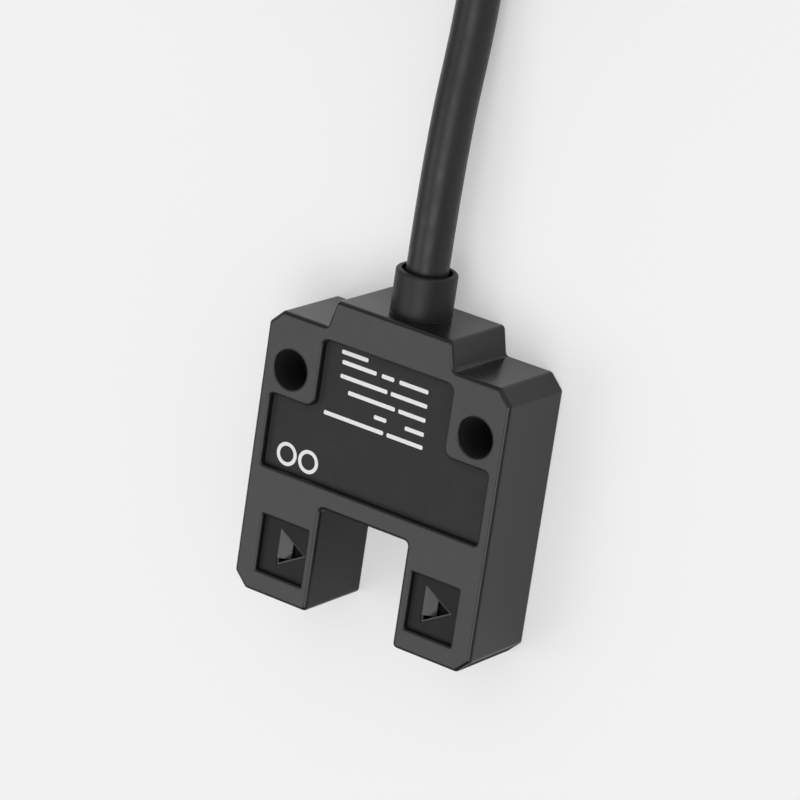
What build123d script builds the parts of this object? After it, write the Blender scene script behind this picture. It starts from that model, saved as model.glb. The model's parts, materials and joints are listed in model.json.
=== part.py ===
from build123d import *
import os
from math import cos, pi, radians, sin, sqrt, tan

# Fork sensor with a fixed lead, lying on its back. Sizes are in millimetres and degrees.
# X runs across the fork. The slot opens towards -Y and the lead leaves towards +Y.
# Z is 0 at the back face. X and Y are 0 in the middle of the sensor, its lead left out.

# Housing, outside
body_width = 27.3
body_height = 27.7
body_depth = 8.6
corner_cut = 1.4
slot_width = 10.0
slot_depth = 10.4
boss_base_width = 14.3
boss_top_width = 13.0
boss_height = 2.7
spout_diameter = 5.8
spout_length = 4.15
corner_round = 0.45
front_edge_round = 0.35
back_edge_round = 0.15
spout_rim_round = 0.25
recess_rim_round = 0.2
same_place = 0.01

# Fixing holes
hole_diameter = 3.8
hole_from_side = 3.15
hole_from_shoulder = 5.3
screw_post_wall = 1.2

# Label recess in the front
label_depth = 0.75
label_side_margin = 1.25
label_slot_margin = 2.1
label_hole_margin = 0.9
label_top_margin = 4.0
label_pad_round = 1.0
label_neck_round = 0.7
label_end_round = 0.45
label_bottom_round = 0.3

# Square recess and beam arrow on each prong
square_width = 5.3
square_height = 5.6
square_depth = 0.6
square_from_slot = 1.0
beam_height = 5.0
arrow_side = 3.8
arrow_shift = 0.25
arrow_ledge = 0.18
arrow_ledge_depth = 0.12
arrow_depth = 1.3
arrow_ramp_run = 1.15
arrow_ramp_drop = 0.8
arrow_ramp_gap = 0.78

# Housing, inside
side_wall = 1.0
front_wall = 1.6
arrow_floor = 0.5
arrow_pad_margin = 0.5
stud_diameter = 1.4
stud_post_gap = 0.3
arm_stud_from_slot = 0.6

# Rear cover
cover_thickness = 1.2
cover_seat = 0.5
cover_gap = 0.1
cover_edge_round = 0.15
cover_rib_width = 0.8
cover_rib_length = 6.0
cover_rib_spacing = 11.0
cover_rib_from_slot = 4.6

# Circuit board
board_thickness = 0.8
board_under_share = 0.48
board_gap = 0.3
board_past_pads = 1.7

# Emitter and receiver, side-looking
package_width = 3.6
package_height = 2.1
package_thickness = 1.8
package_round = 0.3
lens_radius = 0.9
lens_flat = 0.25
leg_width = 0.45
leg_pitch = 2.54
leg_stand = 0.3
leg_tail_share = 0.58
leg_hole_diameter = 0.9
holder_wall = 0.6
holder_roof = 0.45
holder_front = 0.6
holder_fit = 0.1
slit_width = 0.8
slit_height = 1.6

# Parts on the board
ic_width = 3.9
ic_length = 4.9
ic_height = 1.4
ic_stand = 0.12
ic_span = 6.0
ic_lead_pitch = 1.27
ic_lead_width = 0.42
ic_lead_thickness = 0.18
ic_leads_per_side = 4
ic_from_slot = 5.2
transistor_width = 1.3
transistor_length = 2.9
transistor_height = 1.0
transistor_span = 2.4
transistor_foot = 0.4
transistor_foot_pitch = 1.9
transistor_from_slot = 3.2
transistor_from_edge = 3.65
diode_width = 1.6
diode_length = 2.7
diode_height = 1.1
diode_span = 3.6
diode_foot = 0.6
diode_from_slot = 6.6
diode_from_edge = 3.15
foot_thickness = 0.15
regulator_width = 2.5
regulator_length = 4.5
regulator_height = 1.5
regulator_tab_width = 1.7
regulator_foot = 0.45
regulator_foot_pitch = 1.5
regulator_foot_reach = 0.9
regulator_shift = -3.3
regulator_from_pads = 3.5
capacitor_width = 2.8
capacitor_length = 3.5
capacitor_height = 1.9
capacitor_shift = 3.3
capacitor_from_pads = 3.5
chip_length = 1.6
chip_width = 0.8
resistor_height = 0.45
chip_capacitor_height = 0.8
resistor_row_spacing = 3.0
resistor_row_count = 4
resistor_row_from_slot = 2.05
chip_capacitor_spacing = (10.4, 2.4)
chip_capacitors_from_slot = 5.2

# Lead and what holds it
cable_diameter = 4.0
cable_bore_gap = 0.1
seal_gap = 0.05
mouth_bore_diameter = 4.8
seal_depth = 1.4
seal_length = 1.8
ferrule_wall = 0.5
ferrule_length = 2.4
ferrule_room = 0.1
jacket_end_gap = 0.3

# Cores inside the housing: colour, offset in the jacket and place of its pad
core_diameter = 0.9
core_offset = 0.75
pads_from_jacket = 2.2
pad_spacing = 3.0
core_start_run = 0.7
core_bend_radius = 0.5
core_drop = 1.0
core_rise = 0.45
pad_joint_height = 0.4
pad_joint_radius = 0.75
pad_joint_top_radius = 0.5
leg_joint_share = 0.5
leg_joint_radius = 0.6
leg_joint_tip_radius = 0.35

# Lead outside: a straight start, a slight drop and a turn into a hank
exit_run = 12.0
drop_run = 12.0
turn_run = 12.0
entry_run = 12.0
entry_turn = 30.0
hank_fold_radius = 12.0
hank_run = 26.4
hank_columns = 2
hank_layers = 4
hank_edge_round = 1.8
hank_room = 0.3
tie_thickness = 0.5
tie_width = 3.0
tie_gap = 0.15
tie_round = 1.2
right_tie_from_fold = 6.0
left_tie_from_fold = 2.5
tail_run = 10.0
tail_turn = 25.0

# Stripped end of the lead: sideways offset in the jacket, up offset, and where it lies
end_core_diameter = 1.0
end_core_offset = 0.72
end_core_runs = (2.6, 4.8, 2.6)
end_core_lay = {"brown": -2.9, "blue": -0.9, "black": 1.1, "white": 3.3}
end_core_sides = {"brown": (-1, -1), "blue": (-1, 1), "black": (1, -1), "white": (1, 1)}
core_tip_diameter = 0.55
core_tip_length = 3.0

# Places that follow from the sizes
overall_length = body_height + boss_height + spout_length
tips_y = -overall_length / 2
shoulder_y = tips_y + body_height
boss_y = shoulder_y + boss_height
mouth_y = boss_y + spout_length
slot_top_y = tips_y + slot_depth
half_width = body_width / 2
prong_width = (body_width - slot_width) / 2
hole_x = half_width - hole_from_side
hole_y = shoulder_y - hole_from_shoulder
hole_places = [(-hole_x, hole_y), (hole_x, hole_y)]
screw_post_radius = hole_diameter / 2 + screw_post_wall
cable_z = body_depth / 2
cable_radius = cable_diameter / 2
ceiling_z = body_depth - front_wall
square_z = body_depth - square_depth
square_x = slot_width / 2 + square_from_slot + square_width / 2
arrow_floor_z = square_z - arrow_depth
arrow_pad_z = arrow_floor_z - arrow_floor
beam_y = tips_y + beam_height

# The stack of cover, board and optics fits under the arrows and shares the room that is left
holder_z_size = leg_stand + package_height + holder_fit + holder_roof
stack_room = arrow_pad_z - cover_thickness - board_thickness - holder_z_size
board_under = board_under_share * stack_room
leg_tail = leg_tail_share * board_under
leg_joint_height = leg_joint_share * board_under
board_z = cover_thickness + board_under
board_top_z = board_z + board_thickness
package_z = board_top_z + leg_stand
beam_z = package_z + package_height / 2
stud_x = hole_x - screw_post_radius - stud_post_gap - stud_diameter / 2
arm_x = slot_width / 2 + prong_width / 2
stud_places = [(-stud_x, hole_y), (stud_x, hole_y)]
stud_places += [(-arm_x, slot_top_y - arm_stud_from_slot), (arm_x, slot_top_y - arm_stud_from_slot)]
inner_boss_y = boss_y - side_wall
ferrule_y = inner_boss_y - ferrule_length
ferrule_radius = cable_radius + seal_gap + ferrule_wall
jacket_end_y = ferrule_y - jacket_end_gap
pad_y = jacket_end_y - pads_from_jacket
board_end_y = pad_y + board_past_pads
board_edge_x = half_width - side_wall - board_gap
holder_x = slot_width / 2 + side_wall + holder_fit
package_x = holder_x + holder_front + holder_fit + lens_radius - lens_flat
holder_length = package_x + package_thickness - holder_x
holder_y_size = package_width + 2 * (holder_fit + holder_wall)
leg_x = package_x + package_thickness / 2
leg_places = [(side * leg_x, beam_y + end * leg_pitch / 2) for side in (-1, 1) for end in (-1, 1)]

os.makedirs("parts", exist_ok=True)


# Outlines


with BuildSketch() as fork_outline:
    with BuildLine():
        Polyline(
            (0, slot_top_y),
            (slot_width / 2, slot_top_y),
            (slot_width / 2, tips_y),
            (half_width - corner_cut, tips_y),
            (half_width, tips_y + corner_cut),
            (half_width, shoulder_y - corner_cut),
            (half_width - corner_cut, shoulder_y),
            (boss_base_width / 2, shoulder_y),
            (boss_top_width / 2, boss_y),
            (0, boss_y),
            close=True,
        )
    make_face()
    mirror(about=Plane.YZ)

with BuildSketch() as rounded_outline:
    add(fork_outline.sketch)
    fillet(rounded_outline.vertices(), corner_round)


def inset_outline(inset):
    """Outline of the fork, moved inwards on all sides by the inset."""
    with BuildSketch() as moved:
        add(fork_outline.sketch)
        offset(amount=-inset, kind=Kind.INTERSECTION)
    return moved.sketch


cavity_outline = inset_outline(side_wall)
cover_seat_outline = inset_outline(side_wall - cover_seat)
cover_outline = inset_outline(side_wall - cover_seat + cover_gap)
board_outline = inset_outline(side_wall + board_gap)

label_bottom_y = slot_top_y + label_slot_margin
label_shoulder_y = hole_y - hole_diameter / 2 - label_hole_margin
label_top_y = boss_y - label_top_margin
label_side_x = half_width - label_side_margin
label_neck_x = hole_x - hole_diameter / 2 - label_side_margin

with BuildSketch() as label_outline:
    with BuildLine():
        Polyline(
            (0, label_bottom_y),
            (label_side_x, label_bottom_y),
            (label_side_x, label_shoulder_y),
            (label_neck_x, label_shoulder_y),
            (label_neck_x, label_top_y),
            (0, label_top_y),
            close=True,
        )
    make_face()
    mirror(about=Plane.YZ)
    rows = label_outline.vertices().group_by(Axis.Y)
    fillet(rows[0], label_bottom_round)
    rows = label_outline.vertices().group_by(Axis.Y)
    shoulder = rows[-2].sort_by(Axis.X)
    fillet(shoulder[1:-1], label_pad_round)
    rows = label_outline.vertices().group_by(Axis.Y)
    fillet(rows[-1], label_neck_round)
    ends = label_outline.vertices().filter_by_position(
        Axis.Y, label_shoulder_y - same_place, label_shoulder_y + same_place
    )
    fillet(ends.group_by(Axis.X)[0] + ends.group_by(Axis.X)[-1], label_end_round)


# Beam arrow: a stepped triangular pocket with a ramp on its flat side


def arrow_triangle(inset):
    """Triangle of the arrow in the current sketch, its tip towards +X."""
    RegularPolygon(radius=arrow_side / sqrt(3) - 2 * inset, side_count=3)


arrow_back_x = -arrow_side / (2 * sqrt(3))

with BuildPart() as arrow_pocket:
    with BuildSketch(Plane.XY):
        arrow_triangle(0)
    extrude(amount=-arrow_ledge_depth)
    with BuildSketch(Plane.XY):
        arrow_triangle(arrow_ledge)
    extrude(amount=-arrow_depth)
    with BuildSketch(Plane.XZ.offset(-arrow_side)):
        with BuildLine():
            Polyline(
                (arrow_back_x, 0),
                (arrow_back_x + arrow_ramp_run, -arrow_ramp_drop),
                (arrow_back_x + arrow_ramp_run, -2 * arrow_depth),
                (arrow_back_x, -2 * arrow_depth),
                close=True,
            )
        make_face()
    extrude(amount=1.5 * arrow_side - arrow_ramp_gap, mode=Mode.SUBTRACT)


# Housing: one moulding with the fork, the boss and the spout

with BuildPart() as housing:
    with BuildSketch(Plane.XY):
        add(rounded_outline.sketch)
    extrude(amount=body_depth)
    fillet(housing.edges().filter_by_position(Axis.Z, body_depth, body_depth), front_edge_round)
    fillet(housing.edges().filter_by_position(Axis.Z, 0, 0), back_edge_round)
    # Spout, from inside the boss wall to its mouth
    with BuildSketch(Plane(origin=(0, boss_y - side_wall / 2, cable_z), z_dir=(0, 1, 0))):
        Circle(spout_diameter / 2)
    extrude(amount=spout_length + side_wall / 2)
    fillet(housing.edges().filter_by_position(Axis.Y, mouth_y, mouth_y), spout_rim_round)
    # Label recess and square recesses, rounded at their rims
    with BuildSketch(Plane.XY.offset(body_depth)):
        add(label_outline.sketch)
    extrude(amount=-label_depth, mode=Mode.SUBTRACT)
    with BuildSketch(Plane.XY.offset(body_depth)):
        with Locations((-square_x, beam_y), (square_x, beam_y)):
            Rectangle(square_width, square_height)
    extrude(amount=-square_depth, mode=Mode.SUBTRACT)
    front = housing.faces().filter_by(Axis.Z).sort_by(Axis.Z)[-1]
    fillet([edge for rim in front.inner_wires() for edge in rim.edges()], recess_rim_round)
    # Inside of the shell, with the tubes round the fixing holes left standing
    with BuildSketch(Plane.XY):
        add(cavity_outline)
        with Locations(*hole_places):
            Circle(screw_post_radius, mode=Mode.SUBTRACT)
    extrude(amount=ceiling_z, mode=Mode.SUBTRACT)
    with BuildSketch(Plane.XY):
        add(cover_seat_outline)
        with Locations(*hole_places):
            Circle(screw_post_radius, mode=Mode.SUBTRACT)
    extrude(amount=cover_thickness, mode=Mode.SUBTRACT)
    # Pads behind the arrows and studs that hold the board down
    with BuildSketch(Plane.XY.offset(arrow_pad_z)):
        with Locations((-square_x, beam_y), (square_x, beam_y)):
            Rectangle(square_width + 2 * arrow_pad_margin, square_height + 2 * arrow_pad_margin)
    extrude(amount=square_z - arrow_pad_z - arrow_floor)
    with BuildSketch(Plane.XY.offset(board_top_z)):
        with Locations(*stud_places):
            Circle(stud_diameter / 2)
    extrude(amount=ceiling_z - board_top_z + front_wall / 4)
    # Arrows, both with their tip towards +X, from emitter to receiver
    with Locations((-square_x + arrow_shift, beam_y, square_z), (square_x - arrow_shift, beam_y, square_z)):
        add(arrow_pocket.part, mode=Mode.SUBTRACT)
    # Way of the lead through the spout, with a wider seat for the seal
    with BuildSketch(Plane(origin=(0, inner_boss_y - side_wall / 2, cable_z), z_dir=(0, 1, 0))):
        Circle(cable_radius + cable_bore_gap)
    extrude(amount=mouth_y - inner_boss_y + side_wall, mode=Mode.SUBTRACT)
    with BuildSketch(Plane(origin=(0, mouth_y, cable_z), z_dir=(0, -1, 0))):
        Circle(mouth_bore_diameter / 2)
    extrude(amount=seal_depth + seal_length, mode=Mode.SUBTRACT)
    with BuildSketch(Plane(origin=(0, inner_boss_y, cable_z), z_dir=(0, -1, 0))):
        Circle(ferrule_radius + ferrule_room)
    extrude(amount=ferrule_length + jacket_end_gap, mode=Mode.SUBTRACT)
    with Locations(*[(x, y, body_depth) for x, y in hole_places]):
        Hole(hole_diameter / 2)
housing.part.label = "housing"
export_step(housing.part, "parts/housing.step")


# Rear cover: a fork-shaped plate in its seat, with ribs that carry the board

with BuildPart() as rear_cover:
    with BuildSketch(Plane.XY):
        add(cover_outline)
        with Locations(*hole_places):
            Circle(screw_post_radius + cover_gap, mode=Mode.SUBTRACT)
    extrude(amount=cover_thickness)
    chamfer(rear_cover.edges().filter_by_position(Axis.Z, 0, 0), cover_edge_round)
    with BuildSketch(Plane.XY.offset(cover_thickness)):
        with Locations((0, slot_top_y + cover_rib_from_slot)):
            with GridLocations(cover_rib_spacing, 0, 2, 1):
                Rectangle(cover_rib_width, cover_rib_length)
    extrude(amount=board_under)
rear_cover.part.label = "rear_cover"
export_step(rear_cover.part, "parts/rear_cover.step")


# Circuit board in the shape of the fork


with BuildPart() as main_board:
    with BuildSketch(Plane.XY.offset(board_z)):
        add(board_outline)
        with Locations((0, board_end_y)):
            Rectangle(body_width, overall_length, align=(Align.CENTER, Align.MIN), mode=Mode.SUBTRACT)
        with Locations(*hole_places):
            Circle(screw_post_radius + board_gap, mode=Mode.SUBTRACT)
    extrude(amount=board_thickness)
    with Locations(*[(x, y, board_top_z) for x, y in leg_places]):
        Hole(leg_hole_diameter / 2)
main_board.part.label = "main_board"
export_step(main_board.part, "parts/main_board.step")


# Emitter and receiver with their legs and holders, one set in each prong

for side, part_name in ((-1, "emitter"), (1, "receiver")):
    facing = Plane(origin=(package_x, beam_y, beam_z), x_dir=(0, 1, 0), z_dir=(1, 0, 0))
    with BuildPart() as package:
        with BuildSketch(facing):
            RectangleRounded(package_width, package_height, package_round)
        extrude(amount=package_thickness)
        with BuildSketch(Plane.XY.offset(beam_z)):
            with Locations((package_x + lens_flat, beam_y)):
                Circle(lens_radius)
            with Locations((package_x, beam_y)):
                Rectangle(
                    lens_radius, 2 * lens_radius, align=(Align.MIN, Align.CENTER), mode=Mode.SUBTRACT
                )
            split(bisect_by=Plane.XZ.offset(-beam_y))
        revolve(axis=Axis((0, beam_y, beam_z), (1, 0, 0)))
        if side < 0:
            mirror(about=Plane.YZ, mode=Mode.REPLACE)
    package.part.label = part_name
    export_step(package.part, f"parts/{part_name}.step")

    with BuildPart() as legs:
        with BuildSketch(Plane.XY.offset(board_z - leg_tail)):
            with Locations((side * leg_x, beam_y)):
                with GridLocations(0, leg_pitch, 1, 2):
                    Rectangle(leg_width, leg_width)
        extrude(amount=package_z - board_z + leg_tail)
    legs.part.label = f"{part_name}_leads"
    export_step(legs.part, f"parts/{part_name}_leads.step")

    front_plane = Plane(origin=(holder_x, beam_y, board_top_z), x_dir=(0, 1, 0), z_dir=(1, 0, 0))
    with BuildPart() as holder:
        with BuildSketch(front_plane):
            Rectangle(holder_y_size, holder_z_size, align=(Align.CENTER, Align.MIN))
        extrude(amount=holder_length)
        with BuildSketch(front_plane.offset(holder_front)):
            Rectangle(
                package_width + 2 * holder_fit,
                holder_z_size - holder_roof,
                align=(Align.CENTER, Align.MIN),
            )
        extrude(amount=holder_length, mode=Mode.SUBTRACT)
        with BuildSketch(front_plane):
            with Locations((0, beam_z - board_top_z)):
                Rectangle(slit_width, slit_height)
        extrude(amount=holder_length, mode=Mode.SUBTRACT)
        if side < 0:
            mirror(about=Plane.YZ, mode=Mode.REPLACE)
    holder.part.label = f"{part_name}_holder"
    export_step(holder.part, f"parts/{part_name}_holder.step")


# Amplifier, a moulded body with bent leads on both sides

with BuildPart() as amplifier_ic:
    with BuildSketch(Plane.XY.offset(board_top_z + ic_stand)):
        with Locations((0, slot_top_y + ic_from_slot)):
            Rectangle(ic_width, ic_length)
    extrude(amount=ic_height, taper=5)
amplifier_ic.part.label = "amplifier_ic"
export_step(amplifier_ic.part, "parts/amplifier_ic.step")

with BuildPart() as ic_leads:
    first_lead_y = slot_top_y + ic_from_slot - ic_lead_pitch * (ic_leads_per_side - 1) / 2
    knee_x = (ic_width / 2 + ic_span / 2) / 2
    lead_top_z = board_top_z + ic_stand + ic_height / 2
    for lead in range(ic_leads_per_side):
        lead_y = first_lead_y + lead * ic_lead_pitch + ic_lead_width / 2
        with BuildSketch(Plane.XZ.offset(-lead_y)):
            with BuildLine():
                Polyline(
                    (ic_width / 2, lead_top_z),
                    (knee_x + ic_lead_thickness / 2, lead_top_z),
                    (knee_x + ic_lead_thickness / 2, board_top_z + ic_lead_thickness),
                    (ic_span / 2, board_top_z + ic_lead_thickness),
                    (ic_span / 2, board_top_z),
                    (knee_x - ic_lead_thickness / 2, board_top_z),
                    (knee_x - ic_lead_thickness / 2, lead_top_z - ic_lead_thickness),
                    (ic_width / 2, lead_top_z - ic_lead_thickness),
                    close=True,
                )
            make_face()
        extrude(amount=ic_lead_width)
    mirror(about=Plane.YZ)
    add(amplifier_ic.part, mode=Mode.SUBTRACT)
ic_leads.part.label = "ic_leads"
export_step(ic_leads.part, "parts/ic_leads.step")


# Output transistors, one for each output


def footed_package(place, size, feet, foot_width, foot_reach):
    """Moulded body with flat feet, standing on the board."""
    width, length, height = size
    with BuildPart() as made:
        with BuildSketch(Plane.XY.offset(board_top_z)):
            with Locations(*feet):
                Rectangle(foot_reach, foot_width)
        extrude(amount=foot_thickness)
        with BuildSketch(Plane.XY.offset(board_top_z + foot_thickness)):
            with Locations(place):
                Rectangle(width, length)
        extrude(amount=height - foot_thickness, taper=4)
    return made


for side, part_name in ((-1, "output_transistor_no"), (1, "output_transistor_nc")):
    place_x = side * (board_edge_x - transistor_from_edge)
    place_y = slot_top_y + transistor_from_slot
    foot_reach = (transistor_span + transistor_width / 2) / 2
    foot_x = (transistor_span - foot_reach) / 2
    transistor = footed_package(
        (place_x, place_y),
        (transistor_width, transistor_length, transistor_height),
        [
            (place_x - foot_x, place_y - transistor_foot_pitch / 2),
            (place_x - foot_x, place_y + transistor_foot_pitch / 2),
            (place_x + foot_x, place_y),
        ],
        transistor_foot,
        foot_reach,
    )
    transistor.part.label = part_name
    export_step(transistor.part, f"parts/{part_name}.step")

for side, part_name in ((-1, "reverse_diode"), (1, "surge_diode")):
    place = (side * (board_edge_x - diode_from_edge), slot_top_y + diode_from_slot)
    diode = footed_package(
        place, (diode_length, diode_width, diode_height), [place], diode_foot, diode_span
    )
    diode.part.label = part_name
    export_step(diode.part, f"parts/{part_name}.step")

with BuildPart() as voltage_regulator:
    regulator_x = regulator_shift
    regulator_y = pad_y - regulator_from_pads
    with BuildSketch(Plane.XY.offset(board_top_z)):
        with Locations((regulator_x, regulator_y - regulator_width / 2 - regulator_foot_reach / 2)):
            with GridLocations(regulator_foot_pitch, 0, 3, 1):
                Rectangle(regulator_foot, 2 * regulator_foot_reach)
        with Locations((regulator_x, regulator_y + regulator_foot_reach / 2)):
            Rectangle(regulator_tab_width, regulator_width + regulator_foot_reach)
    extrude(amount=foot_thickness)
    with BuildSketch(Plane.XY.offset(board_top_z + foot_thickness)):
        with Locations((regulator_x, regulator_y)):
            Rectangle(regulator_length, regulator_width)
    extrude(amount=regulator_height - foot_thickness, taper=4)
voltage_regulator.part.label = "voltage_regulator"
export_step(voltage_regulator.part, "parts/voltage_regulator.step")

with BuildPart() as supply_capacitor:
    with BuildSketch(Plane.XY.offset(board_top_z)):
        with Locations((capacitor_shift, pad_y - capacitor_from_pads)):
            Rectangle(capacitor_length, capacitor_width)
    extrude(amount=capacitor_height)
    chamfer(supply_capacitor.faces().sort_by(Axis.Z)[-1].edges().sort_by(Axis.X)[0], capacitor_height / 6)
supply_capacitor.part.label = "supply_capacitor"
export_step(supply_capacitor.part, "parts/supply_capacitor.step")

with BuildPart() as chip_resistors:
    with BuildSketch(Plane.XY.offset(board_top_z)):
        with Locations((0, slot_top_y + resistor_row_from_slot)):
            with GridLocations(resistor_row_spacing, 0, resistor_row_count, 1):
                Rectangle(chip_length, chip_width)
    extrude(amount=resistor_height)
chip_resistors.part.label = "chip_resistors"
export_step(chip_resistors.part, "parts/chip_resistors.step")

with BuildPart() as chip_capacitors:
    with BuildSketch(Plane.XY.offset(board_top_z)):
        with Locations((0, slot_top_y + chip_capacitors_from_slot)):
            with GridLocations(*chip_capacitor_spacing, 2, 2):
                Rectangle(chip_width, chip_length)
    extrude(amount=chip_capacitor_height)
chip_capacitors.part.label = "chip_capacitors"
export_step(chip_capacitors.part, "parts/chip_capacitors.step")


# End of the jacket inside the housing, with its ferrule and seal

with BuildPart() as cable_inner:
    with BuildSketch(Plane(origin=(0, jacket_end_y, cable_z), z_dir=(0, 1, 0))):
        Circle(cable_radius)
    extrude(amount=mouth_y - jacket_end_y)
cable_inner.part.label = "cable_inner"
export_step(cable_inner.part, "parts/cable_inner.step")

with BuildPart() as cable_ferrule:
    with BuildSketch(Plane(origin=(0, ferrule_y, cable_z), z_dir=(0, 1, 0))):
        Circle(ferrule_radius)
        Circle(cable_radius + seal_gap, mode=Mode.SUBTRACT)
    extrude(amount=ferrule_length)
cable_ferrule.part.label = "cable_ferrule"
export_step(cable_ferrule.part, "parts/cable_ferrule.step")

with BuildPart() as cable_seal:
    with BuildSketch(Plane(origin=(0, mouth_y - seal_depth - seal_length, cable_z), z_dir=(0, 1, 0))):
        Circle(mouth_bore_diameter / 2 - seal_gap)
        Circle(cable_radius + seal_gap, mode=Mode.SUBTRACT)
    extrude(amount=seal_length)
cable_seal.part.label = "cable_seal"
export_step(cable_seal.part, "parts/cable_seal.step")


# Cores from the end of the jacket to their pads

core_sides = {"brown": (-1, 1), "blue": (-1, -1), "black": (1, -1), "white": (1, 1)}
pad_numbers = {"brown": -1.5, "blue": -0.5, "black": 0.5, "white": 1.5}
wire_end_z = board_top_z + pad_joint_height

for colour, (across, up) in core_sides.items():
    start = (across * core_offset, jacket_end_y, cable_z + up * core_offset)
    pad_x = pad_numbers[colour] * pad_spacing
    bend_z = wire_end_z + core_drop + (up + 1) / 2 * core_rise
    core_points = [
        start,
        (start[0], start[1] - core_start_run, start[2]),
        (pad_x, pad_y, bend_z),
        (pad_x, pad_y, wire_end_z),
    ]
    with BuildPart() as core:
        with BuildLine() as core_route:
            FilletPolyline(*core_points, radius=[core_bend_radius, core_bend_radius])
        with BuildSketch(Plane(origin=start, z_dir=(0, -1, 0))):
            Circle(core_diameter / 2)
        sweep(path=core_route.line)
    core.part.label = f"wire_{colour}"
    export_step(core.part, f"parts/wire_{colour}.step")


# Solder where the cores and the legs meet the board

with BuildPart() as solder_joints:
    with Locations((0, pad_y, board_top_z)):
        with GridLocations(pad_spacing, 0, 4, 1):
            Cone(
                pad_joint_radius,
                pad_joint_top_radius,
                pad_joint_height,
                align=(Align.CENTER, Align.CENTER, Align.MIN),
            )
    with Locations(*[(x, y, board_z) for x, y in leg_places]):
        Cone(
            leg_joint_tip_radius,
            leg_joint_radius,
            leg_joint_height,
            align=(Align.CENTER, Align.CENTER, Align.MAX),
        )
        Box(leg_width, leg_width, 3 * leg_joint_height, mode=Mode.SUBTRACT)
solder_joints.part.label = "solder_joints"
export_step(solder_joints.part, "parts/solder_joints.step")


# Free lead


def corner_radii(points):
    """Radius of each arc of a cord: 0.45 of the shorter run over the tangent of half the turn."""
    radii = []
    for before, corner, after in zip(points, points[1:], points[2:]):
        run_in = Vector(*corner) - Vector(*before)
        run_out = Vector(*after) - Vector(*corner)
        half_turn = radians(run_in.get_angle(run_out)) / 2
        radii.append(0.45 * min(run_in.length, run_out.length) / tan(half_turn))
    return radii


turn_sin = sin(radians(entry_turn))
turn_cos = cos(radians(entry_turn))
hank_z = tie_thickness + cable_radius
hank_outer_radius = hank_fold_radius + (hank_columns - 1) * cable_diameter
hank_inner_edge = hank_fold_radius - cable_radius
hank_outer_edge = hank_outer_radius + cable_radius
hank_height = hank_layers * cable_diameter
turn_y = mouth_y + exit_run + drop_run + turn_run
entry_x = entry_run * turn_sin
entry_y = turn_y + entry_run * turn_cos
hank_x = entry_x - hank_outer_radius * turn_cos
near_fold_y = entry_y + hank_outer_radius * turn_sin
far_fold_y = near_fold_y + hank_run

cable_points = [
    (0, mouth_y, cable_z),
    (0, mouth_y + exit_run, cable_z),
    (0, mouth_y + exit_run + drop_run, hank_z),
    (0, turn_y, hank_z),
    (entry_x, entry_y, hank_z),
]
cable_radii = corner_radii(cable_points)
print("cable_jacket radii", [round(radius, 1) for radius in cable_radii])

with BuildPart() as cable_jacket:
    with BuildLine() as cable_route:
        FilletPolyline(*cable_points, radius=cable_radii)
    with BuildSketch(Plane(origin=cable_points[0], z_dir=(0, 1, 0))):
        Circle(cable_radius)
    sweep(path=cable_route.line)
cable_length = sum(edge.length for edge in cable_route.edges())
print("cable_jacket volume", round(cable_jacket.part.volume, 2))
print("cable_jacket section x length", round(pi * cable_radius**2 * cable_length, 2))
cable_jacket.part.label = "cable_jacket"
export_step(cable_jacket.part, "parts/cable_jacket.step")


# Hank: the rest of the lead in long turns, four high outside and inside

tail_x = hank_x - hank_fold_radius

with BuildPart() as cable_hank:
    with BuildSketch(Plane.XY.offset(tie_thickness)):
        with Locations((hank_x, near_fold_y + hank_run / 2)):
            SlotCenterToCenter(hank_run, 2 * hank_outer_edge, rotation=90)
            SlotCenterToCenter(hank_run, 2 * hank_inner_edge, rotation=90, mode=Mode.SUBTRACT)
    extrude(amount=hank_height)
    flat_faces = cable_hank.faces().filter_by(Axis.Z)
    fillet(flat_faces.edges(), hank_edge_round)
    # Room for the lead where it comes in beside the near fold
    with BuildSketch(Plane(origin=(entry_x, entry_y, hank_z), z_dir=(-turn_sin, -turn_cos, 0))):
        Circle(cable_radius + hank_room)
    extrude(amount=2 * entry_run, mode=Mode.SUBTRACT)
    # Room for the free end where it leaves the far fold
    with BuildSketch(Plane.XY.offset(hank_z)):
        with Locations((tail_x, far_fold_y)):
            Rectangle(2 * (cable_radius + hank_room), 2 * tail_run, align=(Align.CENTER, Align.MAX))
    extrude(amount=cable_radius + hank_room, both=True, mode=Mode.SUBTRACT)
cable_hank.part.label = "cable_hank"
export_step(cable_hank.part, "parts/cable_hank.step")

tail_sin = sin(radians(tail_turn))
tail_cos = cos(radians(tail_turn))
tail_points = [
    (tail_x, far_fold_y, hank_z),
    (tail_x, far_fold_y - tail_run, hank_z),
    (tail_x + tail_run * tail_sin, far_fold_y - tail_run - tail_run * tail_cos, hank_z),
]
tail_radii = corner_radii(tail_points)
print("cable_tail radii", [round(radius, 1) for radius in tail_radii])

with BuildPart() as cable_tail:
    with BuildLine() as tail_route:
        FilletPolyline(*tail_points, radius=tail_radii)
    with BuildSketch(Plane(origin=tail_points[0], z_dir=(0, -1, 0))):
        Circle(cable_radius)
    sweep(path=tail_route.line)
cable_tail.part.label = "cable_tail"
export_step(cable_tail.part, "parts/cable_tail.step")


# Ties round both sides of the hank

tie_inner_width = hank_outer_edge - hank_inner_edge + 2 * tie_gap
tie_inner_height = hank_height + tie_gap

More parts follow.
